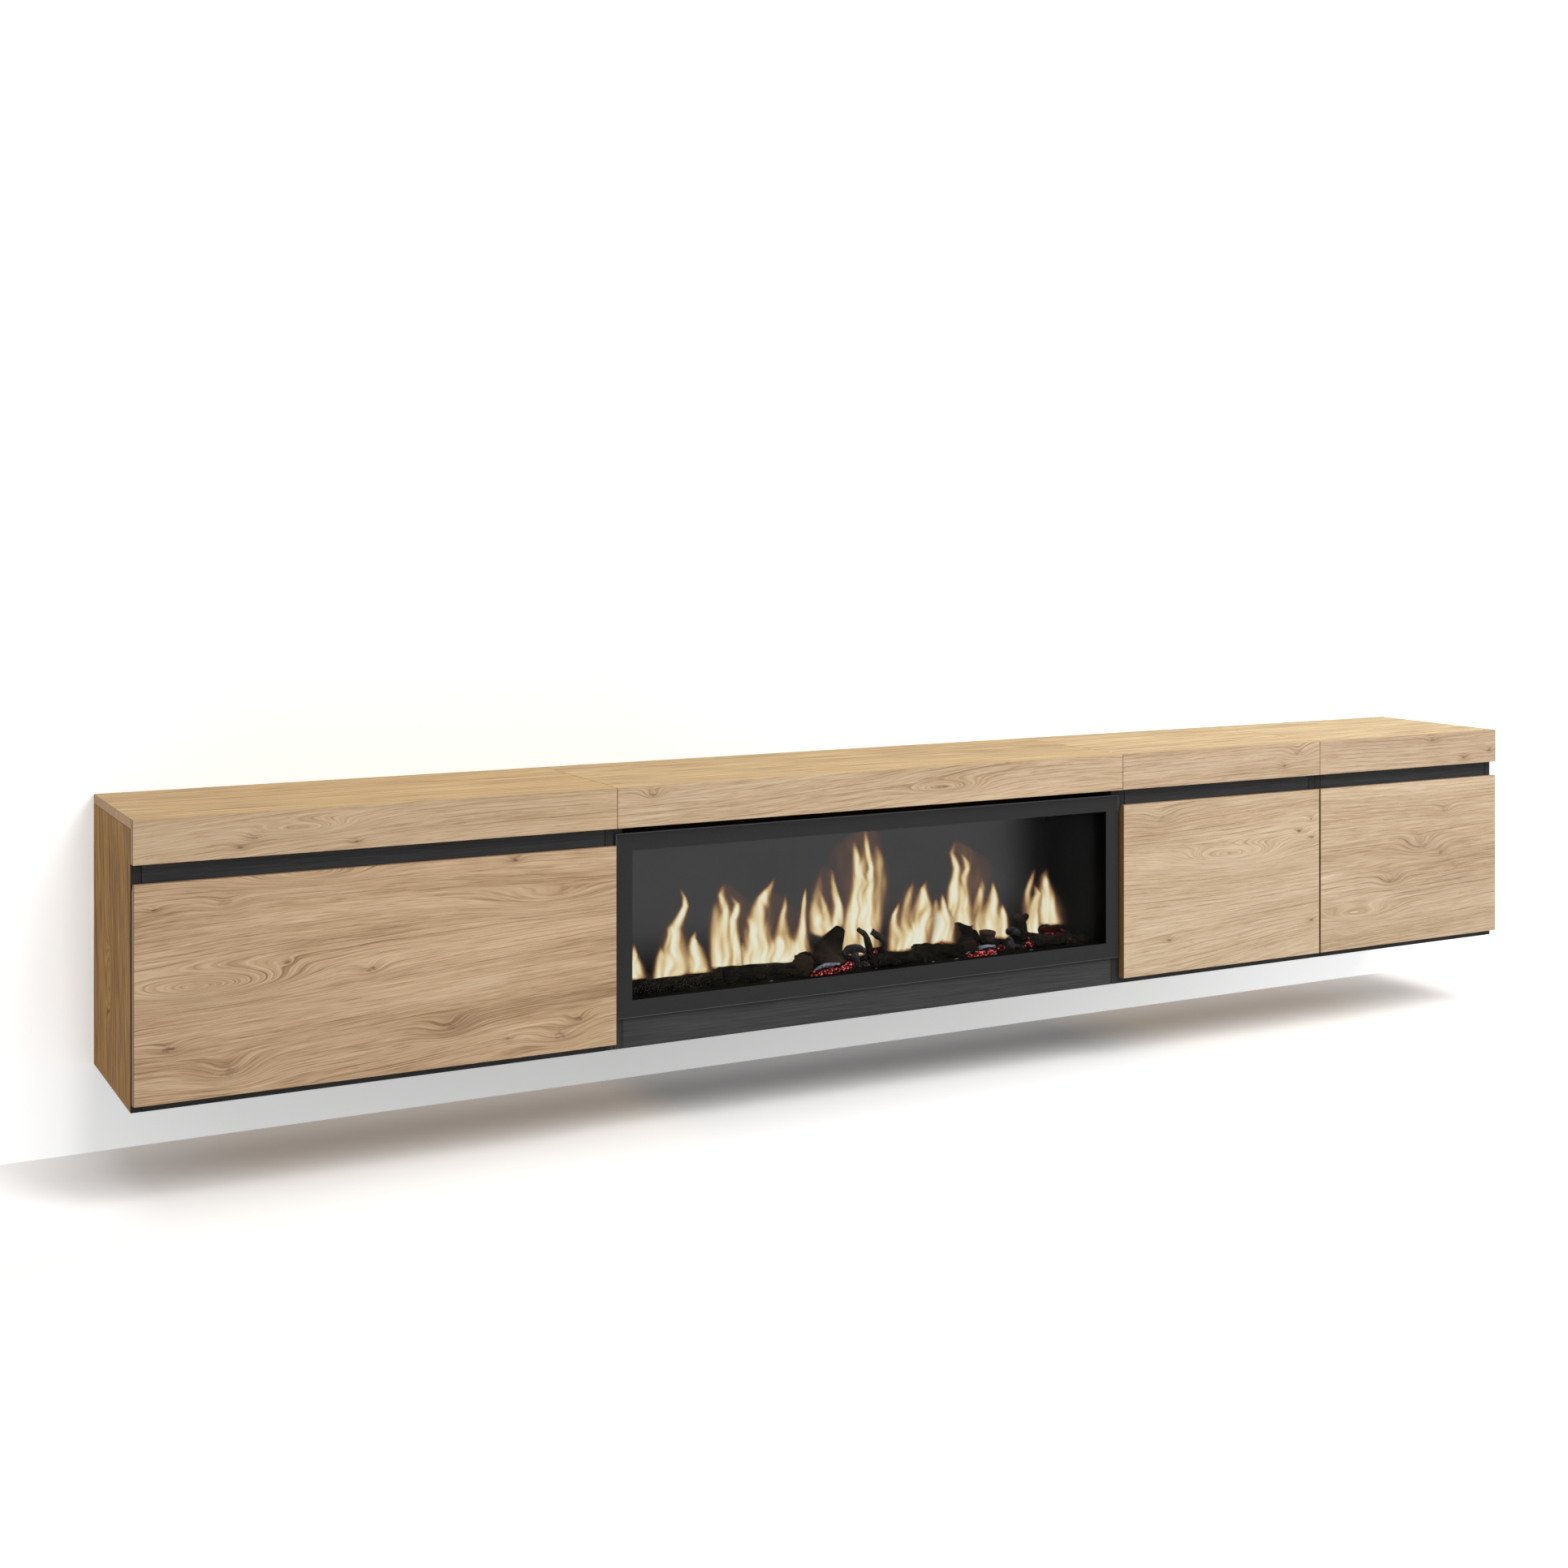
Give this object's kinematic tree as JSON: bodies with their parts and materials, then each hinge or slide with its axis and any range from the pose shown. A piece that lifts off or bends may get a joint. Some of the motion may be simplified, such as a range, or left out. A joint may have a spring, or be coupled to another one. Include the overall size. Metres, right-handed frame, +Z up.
{
  "type": "wall-hung media cabinet",
  "caption": "Long wall-hung media cabinet in oak decor and anthracite, with drop-down flaps, finger gaps and a built-in electric fire.",
  "frame": {"origin": "on the wall, at the middle of the back face of the hanging rail, which is the middle of the cabinet's length", "axes": "+X along the front to the right, +Y into the wall, +Z up"},
  "size_m": [2.9008, 0.342, 0.4525],
  "materials": {
    "light_oak": "matt printed oak decor, grain along the front",
    "anthracite_board": "matt anthracite decor with a fine wood grain",
    "back_board": "plain grey back board",
    "zinc_steel": "zinc-plated steel",
    "bezel_paint": "matt dark grey powder coat",
    "fire_glass": "clear",
    "black_sheet": "matt black sheet",
    "flame_screen": "smoked acrylic, satin",
    "charred_logs": "moulded charred logs with glowing embers",
    "bright_foil": "bright foil vanes",
    "motor_case": "plated motor case",
    "light_bar": "light bar on a white board"
  },
  "bodies": {
    "carcass": {"end_cabinet_back": "back_board", "end_cabinet_bottom": "anthracite_board", "end_cabinet_fascia": "light_oak", "end_cabinet_left_hinge_fixed_leaf": "zinc_steel", "end_cabinet_left_side": "anthracite_board", "end_cabinet_rail": "anthracite_board", "end_cabinet_right_hinge_fixed_leaf": "zinc_steel", "end_cabinet_right_side": "anthracite_board", "end_cabinet_top": "light_oak", "firebox_casing": "black_sheet", "fireplace_bezel": "bezel_paint", "fireplace_cabinet_bottom": "anthracite_board", "fireplace_cabinet_fascia": "light_oak", "fireplace_cabinet_left_side": "anthracite_board", "fireplace_cabinet_lower_panel": "anthracite_board", "fireplace_cabinet_right_side": "anthracite_board", "fireplace_cabinet_top": "light_oak", "fireplace_glass": "fire_glass", "flame_screen": "flame_screen", "led_bar": "light_bar", "log_bed": "charred_logs", "middle_cabinet_back": "back_board", "middle_cabinet_bottom": "anthracite_board", "middle_cabinet_fascia": "light_oak", "middle_cabinet_left_hinge_fixed_leaf": "zinc_steel", "middle_cabinet_left_side": "anthracite_board", "middle_cabinet_rail": "anthracite_board", "middle_cabinet_right_hinge_fixed_leaf": "zinc_steel", "middle_cabinet_right_side": "anthracite_board", "middle_cabinet_top": "light_oak", "spindle_motor": "motor_case", "wall_rail": "zinc_steel", "wide_cabinet_back": "back_board", "wide_cabinet_bottom": "anthracite_board", "wide_cabinet_fascia": "light_oak", "wide_cabinet_left_hinge_fixed_leaf": "zinc_steel", "wide_cabinet_left_side": "anthracite_board", "wide_cabinet_rail": "anthracite_board", "wide_cabinet_right_hinge_fixed_leaf": "zinc_steel", "wide_cabinet_right_side": "anthracite_board", "wide_cabinet_top": "light_oak"},
    "wide_flap": {"wide_cabinet_flap": "light_oak", "wide_cabinet_left_hinge_flap_leaf": "zinc_steel", "wide_cabinet_right_hinge_flap_leaf": "zinc_steel", "wide_cabinet_stay_bracket": "zinc_steel"},
    "wide_stay_arm": {"wide_cabinet_stay_arm": "zinc_steel"},
    "wide_stay_link": {"wide_cabinet_stay_link": "zinc_steel"},
    "middle_flap": {"middle_cabinet_flap": "light_oak", "middle_cabinet_left_hinge_flap_leaf": "zinc_steel", "middle_cabinet_right_hinge_flap_leaf": "zinc_steel", "middle_cabinet_stay_bracket": "zinc_steel"},
    "middle_stay_arm": {"middle_cabinet_stay_arm": "zinc_steel"},
    "middle_stay_link": {"middle_cabinet_stay_link": "zinc_steel"},
    "end_flap": {"end_cabinet_flap": "light_oak", "end_cabinet_left_hinge_flap_leaf": "zinc_steel", "end_cabinet_right_hinge_flap_leaf": "zinc_steel", "end_cabinet_stay_bracket": "zinc_steel"},
    "end_stay_arm": {"end_cabinet_stay_arm": "zinc_steel"},
    "end_stay_link": {"end_cabinet_stay_link": "zinc_steel"},
    "flame_spindle": {"flame_spindle": "bright_foil"}
  },
  "joints": [
    {"name": "wide_flap_fall", "type": "hinge", "parent": "carcass", "child": "wide_flap", "pos_m": [-1.04795, -0.3275, -0.3685], "axis": [1, 0, 0], "range_deg": [0, 90]},
    {"name": "wide_stay_arm_turn", "type": "hinge", "parent": "carcass", "child": "wide_stay_arm", "pos_m": [-0.66145, -0.2475, -0.2585], "axis": [1, 0, 0], "range_deg": [0, 90]},
    {"name": "wide_stay_link_turn", "type": "hinge", "parent": "wide_stay_arm", "child": "wide_stay_link", "pos_m": [-0.66145, -0.2355, -0.1385], "axis": [1, 0, 0], "range_deg": [-90, 0]},
    {"name": "middle_flap_fall", "type": "hinge", "parent": "carcass", "child": "middle_flap", "pos_m": [0.68665, -0.3275, -0.3685], "axis": [1, 0, 0], "range_deg": [0, 90]},
    {"name": "middle_stay_arm_turn", "type": "hinge", "parent": "carcass", "child": "middle_stay_arm", "pos_m": [0.92515, -0.2475, -0.2585], "axis": [1, 0, 0], "range_deg": [0, 90]},
    {"name": "middle_stay_link_turn", "type": "hinge", "parent": "middle_stay_arm", "child": "middle_stay_link", "pos_m": [0.92515, -0.2355, -0.1385], "axis": [1, 0, 0], "range_deg": [-90, 0]},
    {"name": "end_flap_fall", "type": "hinge", "parent": "carcass", "child": "end_flap", "pos_m": [1.19595, -0.3275, -0.3685], "axis": [1, 0, 0], "range_deg": [0, 90]},
    {"name": "end_stay_arm_turn", "type": "hinge", "parent": "carcass", "child": "end_stay_arm", "pos_m": [1.43445, -0.2475, -0.2585], "axis": [1, 0, 0], "range_deg": [0, 90]},
    {"name": "end_stay_link_turn", "type": "hinge", "parent": "end_stay_arm", "child": "end_stay_link", "pos_m": [1.43445, -0.2355, -0.1385], "axis": [1, 0, 0], "range_deg": [-90, 0]},
    {"name": "flame_spindle_turn", "type": "hinge", "parent": "carcass", "child": "flame_spindle", "pos_m": [-0.108, -0.0687, -0.3047], "axis": [1, 0, 0], "continuous": true}
  ],
  "couplings": [
    {"joint": "wide_stay_arm_turn", "follows": "wide_flap_fall", "ratio": 1},
    {"joint": "wide_stay_link_turn", "follows": "wide_flap_fall", "ratio": -1},
    {"joint": "middle_stay_arm_turn", "follows": "middle_flap_fall", "ratio": 1},
    {"joint": "middle_stay_link_turn", "follows": "middle_flap_fall", "ratio": -1},
    {"joint": "end_stay_arm_turn", "follows": "end_flap_fall", "ratio": 1},
    {"joint": "end_stay_link_turn", "follows": "end_flap_fall", "ratio": -1}
  ]
}
